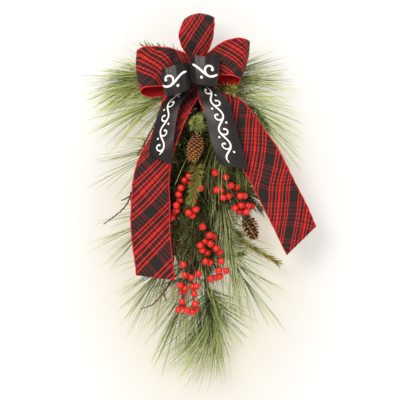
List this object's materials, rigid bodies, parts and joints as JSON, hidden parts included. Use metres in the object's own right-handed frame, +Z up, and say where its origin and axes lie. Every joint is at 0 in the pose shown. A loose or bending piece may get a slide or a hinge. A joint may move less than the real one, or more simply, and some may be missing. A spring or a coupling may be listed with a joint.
{
  "type": "christmas door swag",
  "caption": "Hanging door swag of artificial pine sprays, fir sprigs, red berry picks, pine cones and bare twigs bound to a spine, with a tartan bow and a black satin bow.",
  "frame": {"origin": "where a hook bears inside the hanger loop, at the top of its ring, in the ring's middle plane, 4 mm in front of the door", "axes": "+Z up, +X to the viewer's right, -Y out of the door towards the viewer"},
  "size_m": [0.407, 0.1183, 0.6355],
  "materials": {
    "green_florist_wire": "green lacquered wire",
    "hanger_wire": "plain steel wire",
    "wrapped_spine": "floral tape wound over a wire stem",
    "pine_needles": "moulded and cut PVC needles, matt",
    "fir_needles": "moulded and cut PVC needles, matt",
    "twig_bark": "dry brown bark",
    "red_berries": "lacquered foam berries, glossy",
    "pine_cone_scales": "dry woody scales",
    "tartan_ribbon": "wired plaid ribbon, napped weave, red edges",
    "black_satin_ribbon": "black satin weave, soft sheen"
  },
  "bodies": {
    "root": {"bare_twig_left": "twig_bark", "bare_twig_lower_left": "twig_bark", "bare_twig_upper_left": "twig_bark", "berry_pick_left": "red_berries", "berry_pick_low": "red_berries", "berry_pick_middle": "red_berries", "berry_pick_right": "red_berries", "binding_wire_1": "green_florist_wire", "binding_wire_2": "green_florist_wire", "binding_wire_3": "green_florist_wire", "binding_wire_4": "green_florist_wire", "binding_wire_5": "green_florist_wire", "binding_wire_6": "green_florist_wire", "binding_wire_7": "green_florist_wire", "binding_wire_8": "green_florist_wire", "bow_tie_wire": "green_florist_wire", "fir_sprig_above_cone": "fir_needles", "fir_sprig_behind_cone": "fir_needles", "fir_sprig_behind_left_loop": "fir_needles", "fir_sprig_below_cone": "fir_needles", "fir_sprig_beside_cone": "fir_needles", "fir_sprig_bottom": "fir_needles", "fir_sprig_by_left_tail": "fir_needles", "fir_sprig_by_right_cone": "fir_needles", "fir_sprig_by_right_tail": "fir_needles", "fir_sprig_inner_left": "fir_needles", "fir_sprig_inner_low": "fir_needles", "fir_sprig_inner_right": "fir_needles", "fir_sprig_low_center": "fir_needles", "fir_sprig_low_right": "fir_needles", "fir_sprig_outside_left_tail": "fir_needles", "fir_sprig_under_right_loop": "fir_needles", "hanger_loop": "hanger_wire", "pine_cone_center": "pine_cone_scales", "pine_cone_right": "pine_cone_scales", "pine_spray_bottom": "pine_needles", "pine_spray_bottom_left": "pine_needles", "pine_spray_left": "pine_needles", "pine_spray_lower_left": "pine_needles", "pine_spray_lower_right": "pine_needles", "pine_spray_middle_left": "pine_needles", "pine_spray_middle_right": "pine_needles", "pine_spray_top_left": "pine_needles", "pine_spray_top_right": "pine_needles", "pine_spray_upper_left": "pine_needles", "pine_spray_upper_right": "pine_needles", "satin_bow": "black_satin_ribbon", "satin_tails": "black_satin_ribbon", "spine": "wrapped_spine", "tartan_bow": "tartan_ribbon", "tartan_tails": "tartan_ribbon"}
  },
  "joints": []
}
